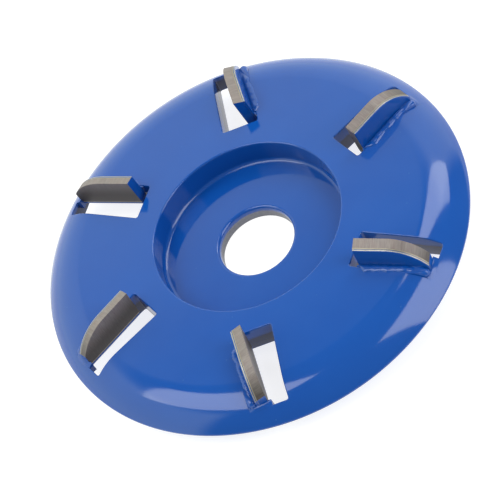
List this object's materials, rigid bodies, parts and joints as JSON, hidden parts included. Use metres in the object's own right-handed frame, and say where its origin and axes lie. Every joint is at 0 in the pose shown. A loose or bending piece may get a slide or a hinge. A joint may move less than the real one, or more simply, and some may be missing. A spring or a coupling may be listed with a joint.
{
  "type": "angle grinder carving disc",
  "caption": "Thick steel carving disc with a recessed hub, a central bore, chip slots and brazed carbide teeth, for shaping wood with an angle grinder.",
  "frame": {"origin": "centre of the bore at the hub's back clamping face", "axes": "+Z along the bore axis towards the toothed face, +X through tooth 1"},
  "size_m": [0.125, 0.125, 0.0197],
  "materials": {
    "body_paint": "gloss blue paint over turned steel",
    "holder_paint": "gloss blue paint over steel, the ground top bare",
    "carbide": "ground grey carbide",
    "braze": "ground silver braze",
    "weld_paint": "rippled weld under gloss blue paint"
  },
  "bodies": {
    "root": {"disc_body": "body_paint", "tooth_holder_1": "holder_paint", "tooth_holder_2": "holder_paint", "tooth_holder_3": "holder_paint", "tooth_holder_4": "holder_paint", "tooth_holder_5": "holder_paint", "tooth_holder_6": "holder_paint", "carbide_insert_1": "carbide", "carbide_insert_2": "carbide", "carbide_insert_3": "carbide", "carbide_insert_4": "carbide", "carbide_insert_5": "carbide", "carbide_insert_6": "carbide", "braze_layer_1": "braze", "braze_layer_2": "braze", "braze_layer_3": "braze", "braze_layer_4": "braze", "braze_layer_5": "braze", "braze_layer_6": "braze", "weld_bead_1": "weld_paint", "weld_bead_2": "weld_paint", "weld_bead_3": "weld_paint", "weld_bead_4": "weld_paint", "weld_bead_5": "weld_paint", "weld_bead_6": "weld_paint"}
  },
  "joints": []
}
